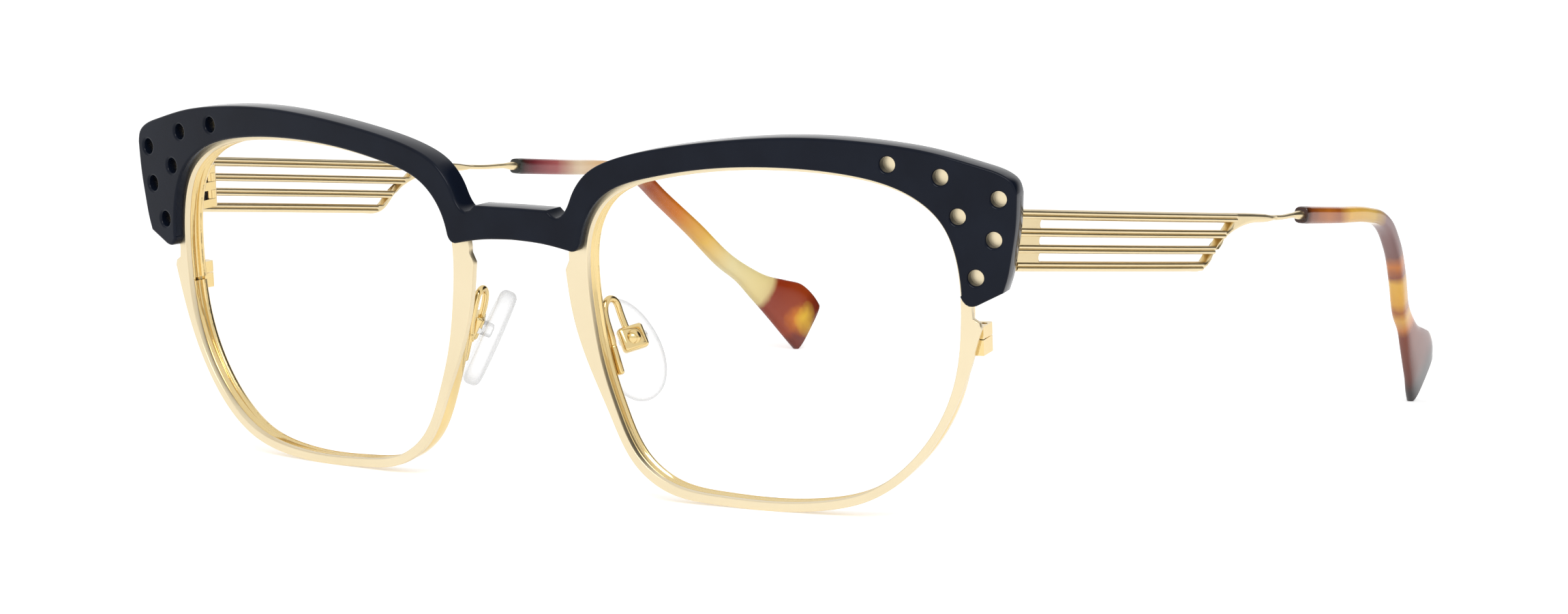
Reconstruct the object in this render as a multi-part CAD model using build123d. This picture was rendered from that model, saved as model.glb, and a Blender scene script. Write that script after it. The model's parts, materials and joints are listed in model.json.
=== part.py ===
from build123d import *
import os
from math import asin, atan2, cos, degrees, radians, sin, sqrt

# Browline eyeglasses, in millimetres. The front is laid out upright: +X to the
# wearer's left, +Y from the front surface towards the ears, +Z up, with the
# front surface touching the origin. At the end everything is leaned forward
# until the rims and the ear tips stand on one level, and the origin moves to
# the middle of the foot of the bounding box.

# ---- lens openings ----
BRIDGE_GAP = 21.0
LENS_WIDTH = 50.1
LENS_HEIGHT = 41.05
LENS_TOP = 4.3
LENS_SHAPE = [
    (0.0, 0.664), (0.008, 0.542), (0.030, 0.389), (0.070, 0.242),
    (0.128, 0.108), (0.214, 0.035), (0.349, 0.007), (0.489, 0.0),
    (0.629, 0.011), (0.749, 0.048), (0.848, 0.128), (0.928, 0.245),
    (0.980, 0.389), (1.0, 0.566), (0.994, 0.737), (0.956, 0.859),
    (0.884, 0.932), (0.739, 0.984), (0.559, 1.0), (0.369, 0.989),
    (0.194, 0.952), (0.074, 0.895), (0.022, 0.817),
]
LENS_FOOT_POINT = 7

# ---- metal front plate and eyewires ----
FRONT_RADIUS = 267.0
PLATE_DEPTH = 1.4
PLATE_THICKNESS = 0.9
RIM_FACE_WIDTHS = [3.3, 2.9, 1.9, 1.15, 1.1, 1.2, 1.1, 1.1, 1.1, 1.1, 1.05, 0.95, 1.3]
NASAL_EAR = [(-2.3, -9.3), (-2.7, -11.4), (-2.7, -12.4)]
TEMPORAL_EAR = [(2.5, -18.5), (2.3, -17.8), (1.5, -17.3), (1.4, -16.3), (1.4, -13.3)]
NASAL_TUCK = [(1.5, -8.3), (-0.5, -8.3)]
TUCK_INSET = 1.5
EYEWIRE_WIDTH = 0.95
EYEWIRE_DEPTH = 2.3
GROOVE_DEPTH = 0.5
GROOVE_WIDTH = 0.9
LENS_THICKNESS = 1.9
LENS_FIT = 0.08
JOINT_FILM = 0.02
OVERCUT = 1.0

# ---- acetate brow bar ----
BAR_THICKNESS = 3.4
BAR_WALL = 1.2
BAR_REVEAL = 0.5
BRIDGE_TOP = -1.7
BRIDGE_DROP = -5.8
BRIDGE_ARCH = [(0.48, -0.3), (0.86, -1.0)]
BAR_NOTCH = [(0.533, -6.05), (0.667, -6.95), (0.8, -5.9), (0.886, -4.1), (0.99, -2.4)]
BAR_CREST = [
    (0.03, -0.9), (0.09, 0.55), (0.19, 1.9), (0.29, 2.8), (0.429, 3.7), (0.589, 4.25),
    (0.709, 4.2), (0.828, 3.75), (0.948, 2.85), (1.068, 1.25), (1.12, 0.3),
]
BAR_CORNER = [(7.2, -0.7), (7.6, -2.1)]
BAR_SIDE = [(7.3, -6.3), (6.7, -9.8), (6.1, -12.5), (5.6, -13.9)]
BAR_TAIL = [(2.4, -15.5), (1.5, -15.6), (0.7, -15.0), (0.4, -14.4)]
PORT_DIAMETER = 1.95
PORTS = [(-8.1, 1.3), (-1.6, -0.1), (5.4, -2.6), (0.4, -4.8), (4.7, -7.5), (2.4, -12.1)]
BRIDGE_WALL = 1.1
POCKET_FIT = 0.05
BAR_SCREWS = [(0.309, 0.82), (0.649, 2.05)]
BAR_SCREW_DIAMETER = 0.9
BAR_SCREW_LENGTH = 1.9
BAR_SCREW_HEAD = (1.4, 0.4)
SCREW_FIT = 0.03
SCREW_ROOM = 0.1

# ---- rim lock at the temporal side ----
LOCK_HEIGHT = 3.5
LOCK_WIDTH = 1.9
LOCK_BACK = 6.3
LOCK_OUT = 1.0
LOCK_DROP = 18.4
LOCK_SHARE = 0.42
LOCK_GAP = 0.12
LOCK_ROUNDING = 0.5
LOCK_INSET = 0.4
LOCK_SCREW_AT = (0.55, 4.7)
LOCK_SCREW_DIAMETER = 0.9
LOCK_SCREW_LENGTH = 3.0
LOCK_SCREW_HEAD = (1.3, 0.5)

# ---- hinge ----
HINGE_OUT = 1.6
HINGE_BEHIND = 8.45
HINGE_DROP = 8.7
KNUCKLE_DIAMETER = 2.0
KNUCKLE_HEIGHT = 1.1
KNUCKLE_GAP = 0.05
KNUCKLES = 5
HINGE_SCREW_DIAMETER = 1.0
HINGE_SCREW_FIT = 0.03
HINGE_SCREW_HEAD = (1.7, 0.6)
END_PIECE = (3.4, 6.4)
END_PIECE_INSET = 0.3
STOP_GAP = 0.15
LEAF_GAP = 0.1
LEAF_FRONT = 2.1
LEAF_BACK = 2.3
LEAF_HEIGHT = 5.8
LEAF_DEPTH = 2.0

# ---- temples: measured along the temple from the hinge, and up from it ----
PANTOSCOPIC = 8.9
TEMPLE_HEIGHT = 7.46
TEMPLE_THICKNESS = 1.4
TEMPLE_NOSE = 2.6
TEMPLE_BOW = 420.0
TEMPLE_BOW_AT = 38.5
TEMPLE_OFFSET = 4.2
TEMPLE_PANEL = 40.6
TEMPLE_FIN = [
    (43.0, 0.82), (44.5, 2.3), (46.5, 3.77), (49.3, 5.0), (52.2, 5.78),
    (55.5, 6.23), (60.3, 6.42), (62.5, 6.75),
]
FIN_SLOPE = 0.2
FIN_END = [(62.5, 7.15), (59.0, 7.39), (55.0, 7.46)]
SLOT_START = 2.85
SLOT_HEIGHT = 0.96
SLOT_PITCH = 2.0
SLOT_ENDS = [43.0, 45.8, 48.6]
SLOT_SLANT = 0.6
NECK_START = (61.0, 3.1)
NECK_DIAMETER = 0.7
CORE_START = 70.5
CORE_DIAMETER = 1.2
CORE_FIT = 0.03
CORE_END = 96.0
CORE_ROOM = 1.0

# ---- ear tips: along, up, outward from the hinge, then width and thickness ----
TIP_PATH = [
    (72.0, 3.54, 2.55, 2.35, 2.2), (84.0, 3.58, 1.75, 2.25, 2.2),
    (94.5, 3.62, 0.95, 2.1, 2.3), (98.5, 3.25, 0.65, 2.05, 2.4),
    (101.3, 2.25, 0.4, 2.1, 2.4), (105.4, -0.45, -0.3, 2.2, 2.4),
    (112.0, -5.25, -2.35, 2.45, 2.4), (118.2, -10.2, -4.5, 2.8, 2.2),
]
PADDLE = [
    ((120.6, -13.3), (122.9, -10.9)), ((123.3, -15.7), (126.6, -12.2)),
    ((126.2, -18.3), (131.1, -12.9)), ((128.6, -20.5), (134.3, -13.5)),
    ((130.6, -22.4), (136.9, -15.3)), ((132.0, -23.6), (137.8, -16.5)),
]
PADDLE_AXIS = (0.748, -0.664)
PADDLE_SLOPE = 0.24
PADDLE_THICKNESS = 1.9
TIP_ROUNDING = 0.3

# ---- nose pads, on the wearer's left: places are from the nasal edge and top of the lens ----
PAD_AXIS_AT = (1.4, 8.4, -23.2)
PAD_DOWN = (0.462, -0.0995, -0.881)
PAD_OUT = (0.722, -0.536, 0.439)
PAD_HEIGHT = 13.6
PAD_WIDTH = 8.0
PAD_THICKNESS = 2.3
PAD_STANDOFF = 0.65
PAD_DROP = 0.9
PAD_ROUNDING = 0.8
INSERT_SIZE = (8.6, 4.6, 0.7)
LUG_SIZE = (1.6, 1.6)
LUG_REACH = 0.6
BOX_SIZE = (3.2, 3.4)
BOX_WALL = 0.45
BOX_FLOOR = 1.2
BOX_RIM = -0.3
BOX_ROOM = 0.8
NUGGET_DIAMETER = 2.2
NUGGET_AT = 0.6
PAD_SCREW_DIAMETER = 0.8
PAD_SCREW_FIT = 0.03
PAD_SCREW_HEAD = (1.2, 0.3)
ARM_DIAMETER = 0.9
ARM_BEND = 1.2
ARM_ROUTE = [(0.7, 5.45, -24.6), (-0.7, 5.45, -17.9), (-0.4, 8.0, -17.9), (1.05, 8.1, -22.3)]
FOOT_SIZE = (1.1, 0.8, 3.9)
FOOT_AT = (1.2, -25.3)
FOOT_LEAN = 17.7
FOOT_ROUNDING = 0.4

NASAL_X = BRIDGE_GAP / 2
TEMPORAL_X = NASAL_X + LENS_WIDTH
LENS_FOOT = LENS_TOP - LENS_HEIGHT
PLATE_BACK = PLATE_DEPTH + PLATE_THICKNESS
EYEWIRE_FRONT = PLATE_BACK + JOINT_FILM
EYEWIRE_BACK = EYEWIRE_FRONT + EYEWIRE_DEPTH
GROOVE_MIDDLE = (EYEWIRE_FRONT + EYEWIRE_BACK) / 2
REACH = 1.5 * LENS_HEIGHT
LOCK_TOP = LENS_TOP - LOCK_DROP
HINGE_X = TEMPORAL_X + HINGE_OUT
HINGE_Y = FRONT_RADIUS - sqrt(FRONT_RADIUS ** 2 - HINGE_X ** 2) + HINGE_BEHIND
HINGE_Z = LENS_TOP - HINGE_DROP


def bend_angle(x):
    return asin(x / FRONT_RADIUS)


def on_front(x, z, depth=0.0):
    """Frame on the bent front: local X outward, local Y into the front."""
    turn = bend_angle(x)
    at = Pos(x, FRONT_RADIUS * (1 - cos(turn)), z)
    return at * Rot(0, 0, degrees(turn)) * Pos(0, depth, 0)


def layer(shape, front, back):
    """The part of an XZ outline between two depths behind the front surface."""
    prism = Pos(0, -REACH / 4, 0) * extrude(Plane.XZ * shape, amount=REACH, dir=(0, 1, 0))
    outer = Cylinder(FRONT_RADIUS - front, 2 * REACH)
    inner = Cylinder(FRONT_RADIUS - back, 2 * REACH)
    return prism & (Pos(0, FRONT_RADIUS, 0) * (outer - inner))


def lens_point(u, v):
    return (NASAL_X + u * LENS_WIDTH, LENS_FOOT + v * LENS_HEIGHT)


def lens_outline(grow=0.0):
    """The lens opening, or a parallel curve outside or inside it."""
    curve = Spline(*[lens_point(u, v) for u, v in LENS_SHAPE], periodic=True)
    if grow == 0:
        return make_face(curve)
    stations = 3 * len(LENS_SHAPE)
    points = []
    for k in range(stations):
        at, along = curve @ (k / stations), curve % (k / stations)
        points.append((at.X + along.Y * grow, at.Y - along.X * grow))
    return make_face(Spline(*points, periodic=True))


def rim_outline():
    """The rim plate below the brow bar, filled in across the lens opening."""
    points = [lens_point(u, v) for u, v in LENS_SHAPE]
    edge = []
    for i, width in enumerate(RIM_FACE_WIDTHS):
        before, here, after = points[i - 1], points[i], points[i + 1]
        along = Vector(after[0] - before[0], after[1] - before[1]).normalized()
        edge.append((here[0] + along.Y * width, here[1] - along.X * width))
    nasal = [(NASAL_X + x, LENS_TOP + z) for x, z in NASAL_EAR]
    neck = [(TEMPORAL_X + x, LENS_TOP + z) for x, z in TEMPORAL_EAR]
    tuck = [(TEMPORAL_X - TUCK_INSET, neck[-1][1])]
    tuck += [(NASAL_X + x, LENS_TOP + z) for x, z in NASAL_TUCK]
    return make_face([
        Polyline(*nasal, edge[0]), Spline(*edge, neck[0]),
        Polyline(*neck), Polyline(neck[-1], *tuck, nasal[0]),
    ])


def bar_outline():
    """Half of the brow bar, filled in across the lens opening."""
    arch = [(t * NASAL_X, BRIDGE_DROP + rise) for t, rise in BRIDGE_ARCH]
    bottom = Spline((0, BRIDGE_DROP), *arch)
    notch = [(t * NASAL_X, LENS_TOP + rise) for t, rise in BAR_NOTCH]
    crest = [(lens_point(u, 0)[0], LENS_TOP + rise) for u, rise in BAR_CREST]
    corner = [(TEMPORAL_X + x, LENS_TOP + z) for x, z in BAR_CORNER]
    side = [(TEMPORAL_X + x, LENS_TOP + z) for x, z in BAR_SIDE]
    tail = [(TEMPORAL_X + x, LENS_TOP + z) for x, z in BAR_TAIL]
    nasal = (NASAL_X + OVERCUT, arch[-1][1])
    inside = Polyline(arch[-1], nasal, (TEMPORAL_X - TUCK_INSET, tail[-1][1]), tail[-1])
    top = Polyline((0, BRIDGE_TOP), notch[0])
    return make_face([
        bottom, inside, Spline(*tail), Polyline(side[-1], tail[0]),
        Spline(corner[-1], *side), Spline(*notch, *crest, *corner), top,
        Line((0, BRIDGE_TOP), (0, BRIDGE_DROP)),
    ])


def both(half):
    return half + mirror(half, about=Plane.YZ)


def rod(diameter, length):
    """A round bar that starts at the origin and runs along local Z, or back along it."""
    return Pos(0, 0, length / 2) * Cylinder(diameter / 2, abs(length))


def screw(diameter, length, head):
    """A screw along local Z with its head above the origin and shank below."""
    return rod(diameter, -length) + rod(head[0], head[1])


# ---- outlines of the front ----
opening = lens_outline()
bar_half = bar_outline()
rim_half = rim_outline()
hidden_half = offset(bar_half, -BAR_WALL) + rim_half
pocket_half = offset(hidden_half, POCKET_FIT).to_splines()
hidden_half = hidden_half.to_splines()
bridge_middle = (BRIDGE_TOP + BRIDGE_DROP) / 2
bridge_height = BRIDGE_TOP - BRIDGE_DROP - 2 * BRIDGE_WALL
strip = Pos(0, bridge_middle) * Rectangle(2 * NASAL_X, bridge_height)
strip_pocket = Pos(0, bridge_middle) * Rectangle(2 * NASAL_X, bridge_height + 2 * POCKET_FIT)

# ---- metal front plate: both rims and the bridge in one sheet ----
half_plate = layer(hidden_half - opening, PLATE_DEPTH, PLATE_BACK)
front_plate = both(half_plate) + layer(strip, PLATE_DEPTH, PLATE_BACK)

# ---- brow bar: a shell that hides the top of the plate ----
half_bar = layer(bar_half - lens_outline(BAR_REVEAL), 0, BAR_THICKNESS)
half_bar -= layer(pocket_half, PLATE_DEPTH - JOINT_FILM, BAR_THICKNESS + OVERCUT)
port = Rot(90, 0, 0) * Cylinder(PORT_DIAMETER / 2, 2 * PLATE_DEPTH)
for x, rise in PORTS:
    half_bar -= on_front(TEMPORAL_X + x, LENS_TOP + rise) * port
brow_bar = both(half_bar) - layer(strip_pocket, PLATE_DEPTH - JOINT_FILM, BAR_THICKNESS + OVERCUT)

# ---- screws that hold the bar, driven from behind the plate ----
brow_screws = []
for share, rise in BAR_SCREWS:
    x, z = NASAL_X + share * LENS_WIDTH, LENS_TOP + rise
    brow_screws.append(
        on_front(x, z, PLATE_BACK + JOINT_FILM) * Rot(-90, 0, 0)
        * screw(BAR_SCREW_DIAMETER, BAR_SCREW_LENGTH, BAR_SCREW_HEAD)
    )
    drill = on_front(x, z, PLATE_BACK) * Rot(90, 0, 0)
    reach = BAR_SCREW_LENGTH - PLATE_THICKNESS + SCREW_ROOM
    hole = rod(BAR_SCREW_DIAMETER + 2 * SCREW_FIT, PLATE_THICKNESS + reach)
    front_plate -= both(drill * hole)
    brow_bar -= both(drill * hole)

# ---- eyewire: an open ring with a groove for the lens, closed by the lock ----
ring = layer(lens_outline(EYEWIRE_WIDTH) - opening, EYEWIRE_FRONT, EYEWIRE_BACK)
groove_front = GROOVE_MIDDLE - GROOVE_WIDTH / 2
groove_back = GROOVE_MIDDLE + GROOVE_WIDTH / 2
ring -= layer(lens_outline(GROOVE_DEPTH), groove_front, groove_back)
lock_depth = LOCK_BACK - EYEWIRE_FRONT
lock_split = LOCK_TOP - LOCK_SHARE * LOCK_HEIGHT
lock_place = on_front(TEMPORAL_X + LOCK_OUT, 0)
lock_middle = LOCK_WIDTH / 2 - LOCK_INSET
lock_seat = lock_place * Pos(lock_middle, EYEWIRE_FRONT + lock_depth / 2, LOCK_TOP - LOCK_HEIGHT / 2)
ring -= lock_seat * Box(LOCK_WIDTH + 2 * JOINT_FILM, lock_depth + OVERCUT, LOCK_HEIGHT + 2 * JOINT_FILM)
ring_cut = Box(3 * LOCK_WIDTH, 2 * EYEWIRE_DEPTH, LOCK_GAP)
eyewire = ring - lock_place * Pos(0, GROOVE_MIDDLE, lock_split - LOCK_GAP / 2) * ring_cut
lens_room = layer(opening, PLATE_DEPTH, EYEWIRE_BACK)
lens_room += layer(lens_outline(GROOVE_DEPTH), groove_front, groove_back)


def lock_block(top, bottom):
    """One half of the closing block, rounded behind and cleared for the lens."""
    block = Box(LOCK_WIDTH, lock_depth, top - bottom)
    rear = block.edges().filter_by(Axis.Z).sort_by(Axis.Y)[-2:]
    place = lock_place * Pos(lock_middle, EYEWIRE_FRONT + lock_depth / 2, (top + bottom) / 2)
    return place * fillet(rear, LOCK_ROUNDING) - lens_room


lock_axis = lock_place * Pos(*LOCK_SCREW_AT, LOCK_TOP - LOCK_SCREW_HEAD[1] - SCREW_ROOM)
lock_bore = rod(LOCK_SCREW_DIAMETER + 2 * SCREW_FIT, LOCK_HEIGHT)
lock_hole = lock_axis * Pos(0, 0, -LOCK_SCREW_LENGTH) * lock_bore
lock_recess = lock_axis * Pos(0, 0, -JOINT_FILM) * rod(LOCK_SCREW_HEAD[0] + SCREW_ROOM, 2 * OVERCUT)
lock_upper = lock_block(LOCK_TOP, lock_split) - lock_hole - lock_recess
lock_lower = lock_block(lock_split - LOCK_GAP, LOCK_TOP - LOCK_HEIGHT) - lock_hole
lock_screw = lock_axis * screw(LOCK_SCREW_DIAMETER, LOCK_SCREW_LENGTH - SCREW_ROOM, LOCK_SCREW_HEAD)

# ---- lens: a bent disc with a tongue that sits in the groove ----
lens_front = GROOVE_MIDDLE - LENS_THICKNESS / 2
lens = layer(lens_outline(-LENS_FIT), lens_front, lens_front + LENS_THICKNESS)
lens += layer(lens_outline(GROOVE_DEPTH - LENS_FIT), groove_front + LENS_FIT, groove_back - LENS_FIT)

# ---- hinge: three knuckles on the end piece, two on the temple leaf ----
pitch = KNUCKLE_HEIGHT + KNUCKLE_GAP
stack_top = (KNUCKLES * pitch - KNUCKLE_GAP) / 2
pivot = Pos(HINGE_X, HINGE_Y, HINGE_Z)
bore = Cylinder(HINGE_SCREW_DIAMETER / 2 + HINGE_SCREW_FIT, END_PIECE[1])
stop = TEMPLE_NOSE + STOP_GAP
end_width, end_height = END_PIECE
end_block = Pos(end_width / 2 - END_PIECE_INSET, -stop - end_width, 0) * Box(
    end_width, 2 * end_width, end_height
)
behind_plate = Cylinder(FRONT_RADIUS - PLATE_BACK - JOINT_FILM, 2 * REACH)
end_block = (pivot * end_block) & (Pos(0, FRONT_RADIUS, 0) * behind_plate)
barrels = Part()
leaf_arms = Part()
leaf_reach = KNUCKLE_DIAMETER / 2 + LEAF_GAP
for k in range(KNUCKLES):
    level = Pos(0, 0, stack_top - KNUCKLE_HEIGHT / 2 - k * pitch)
    barrel = Cylinder(KNUCKLE_DIAMETER / 2, KNUCKLE_HEIGHT)
    if k % 2 == 0:
        arm = Pos(0, -stop / 2, 0) * Box(KNUCKLE_DIAMETER, stop, KNUCKLE_HEIGHT)
        barrels += level * (barrel + arm)
    else:
        arm = Pos(leaf_reach / 2, 0, 0) * Box(leaf_reach, KNUCKLE_DIAMETER, KNUCKLE_HEIGHT)
        leaf_arms += level * (barrel + arm)
end_piece = end_block + pivot * barrels - pivot * bore
hinge_screw = pivot * Pos(0, 0, stack_top + JOINT_FILM) * screw(
    HINGE_SCREW_DIAMETER, 2 * stack_top, HINGE_SCREW_HEAD
)

# ---- temple plate: bowed, slotted, running out into a fin and a wire ----
along_temple = pivot * Rot(-PANTOSCOPIC, 0, 0)
bow_center = Pos(TEMPLE_OFFSET - TEMPLE_BOW, TEMPLE_BOW_AT, 0)
foot = -TEMPLE_HEIGHT / 2
fin = [(s, foot + rise) for s, rise in TEMPLE_FIN]
fin_end = [(s, foot + rise) for s, rise in FIN_END]
nose = -2 * TEMPLE_NOSE
temple_face = make_face([
    Polyline((nose, foot), (TEMPLE_PANEL, foot)),
    Spline((TEMPLE_PANEL, foot), *fin, tangents=[(1, 0), (1, FIN_SLOPE)]),
    Polyline(fin[-1], *fin_end, (nose, -foot), (nose, foot)),
])
half_slot = SLOT_HEIGHT / 2
for k, end in enumerate(SLOT_ENDS):
    level = (k - 1) * SLOT_PITCH
    start = SLOT_START + half_slot
    slot = make_face(Polyline(
        (start, level - half_slot), (end - SLOT_SLANT, level - half_slot),
        (end + SLOT_SLANT, level + half_slot), (start, level + half_slot), close=True,
    ))
    temple_face -= slot + Pos(start, level) * Circle(half_slot)
outer_bow = Cylinder(TEMPLE_BOW + TEMPLE_THICKNESS / 2, REACH)
inner_bow = Cylinder(TEMPLE_BOW - TEMPLE_THICKNESS / 2, REACH)
temple_slab = Pos(-TEMPLE_OFFSET, 0, 0) * extrude(Plane.YZ * temple_face, amount=4 * TEMPLE_OFFSET)
temple = temple_slab & (bow_center * (outer_bow - inner_bow))


def bow_at(s):
    return TEMPLE_OFFSET - (s - TEMPLE_BOW_AT) ** 2 / (2 * TEMPLE_BOW)


def wire_between(start, end, diameter):
    run = Vector(*end) - Vector(*start)
    return Plane(origin=start, z_dir=run) * rod(diameter, run.length)


first, third = TIP_PATH[0], TIP_PATH[2]
slope = ((third[2] - first[2]) / (third[0] - first[0]), (third[1] - first[1]) / (third[0] - first[0]))


def core_at(s):
    return (first[2] + slope[0] * (s - first[0]), s, first[1] + slope[1] * (s - first[0]))


neck_start = (bow_at(NECK_START[0]), *NECK_START)
temple += wire_between(neck_start, core_at(CORE_START), NECK_DIAMETER)
temple += wire_between(core_at(CORE_START), core_at(CORE_END), CORE_DIAMETER)
temple = along_temple * temple
nose_cut = Pos(TEMPLE_OFFSET, -TEMPLE_NOSE - REACH / 2, 0) * Box(4 * TEMPLE_OFFSET, REACH, REACH)
temple -= pivot * nose_cut

# ---- temple leaf: soldered to the inner face of the temple ----
leaf_middle = Pos(leaf_reach + LEAF_DEPTH / 2, (LEAF_BACK - LEAF_FRONT) / 2, 0)
leaf = leaf_middle * Box(LEAF_DEPTH, LEAF_BACK + LEAF_FRONT, LEAF_HEIGHT)
inside_bow = Cylinder(TEMPLE_BOW - TEMPLE_THICKNESS / 2 - JOINT_FILM, REACH)
leaf = (pivot * leaf) & (along_temple * bow_center * inside_bow)
temple_leaf = leaf + pivot * leaf_arms - pivot * bore


# ---- ear tip: sections along the path, then the widening paddle ----
def tip_section(s, h, x, along, width, thickness):
    place = Plane(origin=(x, s, h), x_dir=(1, 0, 0), z_dir=(0, *along))
    return place * RectangleRounded(thickness, width, TIP_ROUNDING * thickness)


sections = []
for k, (s, h, x, width, thickness) in enumerate(TIP_PATH):
    before = TIP_PATH[max(k - 1, 0)]
    after = TIP_PATH[min(k + 1, len(TIP_PATH) - 1)]
    sections.append(tip_section(s, h, x, (after[0] - before[0], after[1] - before[1]), width, thickness))
last = TIP_PATH[-1]
for lower, upper in PADDLE:
    s = (lower[0] + upper[0]) / 2
    h = (lower[1] + upper[1]) / 2
    travel = (s - last[0]) * PADDLE_AXIS[0] + (h - last[1]) * PADDLE_AXIS[1]
    across = (upper[0] - lower[0], upper[1] - lower[1])
    width = sqrt(across[0] ** 2 + across[1] ** 2)
    x = last[2] - PADDLE_SLOPE * travel
    sections.append(tip_section(s, h, x, (across[1], -across[0]), width, PADDLE_THICKNESS))
temple_tip = loft(sections, ruled=True)
bore_start = core_at(first[0] - OVERCUT)
temple_tip -= wire_between(bore_start, core_at(CORE_END + CORE_ROOM), CORE_DIAMETER + 2 * CORE_FIT)
temple_tip = along_temple * temple_tip


# ---- nose pad and its mounting: local X down the pad, local Z away from the nose ----
def from_lens(at):
    return (NASAL_X + at[0], at[1], LENS_TOP + at[2])


pad_place = Plane(origin=from_lens(PAD_AXIS_AT), x_dir=PAD_DOWN, z_dir=PAD_OUT)
pad_middle = -PAD_STANDOFF - PAD_THICKNESS / 2
oval = Ellipse(PAD_HEIGHT / 2, PAD_WIDTH / 2)
pad = Pos(PAD_DROP, 0, pad_middle - PAD_THICKNESS / 2) * extrude(oval, PAD_THICKNESS)
pad = fillet(pad.edges(), PAD_ROUNDING)
insert_oval = Ellipse(INSERT_SIZE[0] / 2, INSERT_SIZE[1] / 2)
insert = Pos(PAD_DROP, 0, pad_middle - INSERT_SIZE[2] / 2) * extrude(insert_oval, INSERT_SIZE[2])
lug = Pos(0, 0, (LUG_REACH + pad_middle) / 2) * Box(*LUG_SIZE, LUG_REACH - pad_middle)
pad_bore = Rot(90, 0, 0) * Cylinder(PAD_SCREW_DIAMETER / 2 + PAD_SCREW_FIT, 2 * BOX_SIZE[1])
film = 2 * JOINT_FILM
void_depth = INSERT_SIZE[2] + film
void_oval = Ellipse((INSERT_SIZE[0] + film) / 2, (INSERT_SIZE[1] + film) / 2)
void = Pos(PAD_DROP, 0, pad_middle - void_depth / 2) * extrude(void_oval, void_depth)
lug_void = Pos(0, 0, pad_middle / 2) * Box(LUG_SIZE[0] + film, LUG_SIZE[1] + film, -pad_middle)
nose_pad = pad_place * (pad - void - lug_void)
pad_insert = pad_place * (insert + lug - pad_bore)
box_depth = BOX_FLOOR - BOX_RIM
shell = Pos(0, 0, BOX_FLOOR - box_depth / 2) * Box(BOX_SIZE[0], BOX_SIZE[1], box_depth)
nugget = Pos(0, 0, NUGGET_AT) * Sphere(NUGGET_DIAMETER / 2)
room = Box(BOX_SIZE[0] - 2 * BOX_WALL, BOX_SIZE[1] - 2 * BOX_WALL, 2 * BOX_ROOM)
pad_box = pad_place * (shell + nugget - room - pad_bore)
screw_seat = BOX_SIZE[1] / 2 + JOINT_FILM
pad_screw = pad_place * Pos(0, screw_seat, 0) * Rot(-90, 0, 0) * screw(
    PAD_SCREW_DIAMETER, BOX_SIZE[1], PAD_SCREW_HEAD
)
route = FilletPolyline(*[from_lens(at) for at in ARM_ROUTE], radius=ARM_BEND)
arm_start = Plane(origin=route @ 0, z_dir=route % 0)
wire = sweep(arm_start * Circle(ARM_DIAMETER / 2), path=route)
foot_x, foot_z = NASAL_X + FOOT_AT[0], LENS_TOP + FOOT_AT[1]
foot_block = fillet(Box(*FOOT_SIZE).edges().filter_by(Axis.Y), FOOT_ROUNDING)
foot_place = on_front(foot_x, foot_z, EYEWIRE_BACK + JOINT_FILM + FOOT_SIZE[1] / 2)
arm = wire + foot_place * Rot(0, -FOOT_LEAN, 0) * foot_block
box_middle = Pos(0, 0, BOX_FLOOR - box_depth / 2)
box_envelope = box_middle * Box(BOX_SIZE[0] + film, BOX_SIZE[1] + film, box_depth + film)
box_envelope += Pos(0, 0, NUGGET_AT) * Sphere(NUGGET_DIAMETER / 2 + JOINT_FILM)
pad_arm = arm - pad_place * box_envelope

# ---- gather the nodes ----
left_nodes = {
    "eyewire": eyewire,
    "lens": lens,
    "lock_upper": lock_upper,
    "lock_lower": lock_lower,
    "lock_screw": lock_screw,
    "brow_screw_inner": brow_screws[0],
    "brow_screw_outer": brow_screws[1],
    "end_piece": end_piece,
    "hinge_screw": hinge_screw,
    "pad_arm": pad_arm,
    "pad_box": pad_box,
    "pad_screw": pad_screw,
    "temple_leaf": temple_leaf,
    "temple": temple,
    "temple_tip": temple_tip,
    "nose_pad": nose_pad,
    "pad_insert": pad_insert,
}
nodes = {"brow_bar": brow_bar, "front_plate": front_plate}
for name, shape in left_nodes.items():
    nodes["left_" + name] = shape
    nodes["right_" + name] = mirror(shape, about=Plane.YZ)

# ---- stand the frame on its rims and tips, origin under the middle ----
foot_level = LENS_FOOT - RIM_FACE_WIDTHS[LENS_FOOT_POINT]
lean_from = on_front(lens_point(*LENS_SHAPE[LENS_FOOT_POINT])[0], foot_level, PLATE_DEPTH).position
lean_to = temple_tip.vertices().sort_by(Axis.Z)[0]
lean = atan2(lean_from.Z - lean_to.Z, lean_to.Y - lean_from.Y)
leaned = {name: Rot(degrees(lean), 0, 0) * shape for name, shape in nodes.items()}
boxes = [shape.bounding_box() for shape in leaned.values()]
front_end = min(box.min.Y for box in boxes)
back_end = max(box.max.Y for box in boxes)
low = min(box.min.Z for box in boxes)
stand = Pos(0, -(front_end + back_end) / 2, -low)

os.makedirs("parts", exist_ok=True)
for name, shape in leaned.items():
    export_step(stand * shape, f"parts/{name}.step")
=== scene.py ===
import json
from math import asin, atan2, cos, degrees, hypot, pi, radians, sin, sqrt

import bmesh
import bpy
import numpy as np
from mathutils import Matrix, Vector
from mathutils.geometry import delaunay_2d_cdt


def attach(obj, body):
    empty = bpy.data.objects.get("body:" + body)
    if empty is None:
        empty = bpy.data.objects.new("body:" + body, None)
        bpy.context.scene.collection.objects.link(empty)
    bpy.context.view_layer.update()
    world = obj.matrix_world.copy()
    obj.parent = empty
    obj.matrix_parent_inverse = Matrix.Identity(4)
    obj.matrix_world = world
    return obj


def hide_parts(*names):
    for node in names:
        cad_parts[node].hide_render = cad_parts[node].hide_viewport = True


# Browline eyeglasses. Pieces are laid out in millimetres in the upright frame
# of the front: +X to the wearer's left, +Y from the front surface towards the
# ears, +Z up. to_row() leans them forward and puts them in the row frame.

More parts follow.
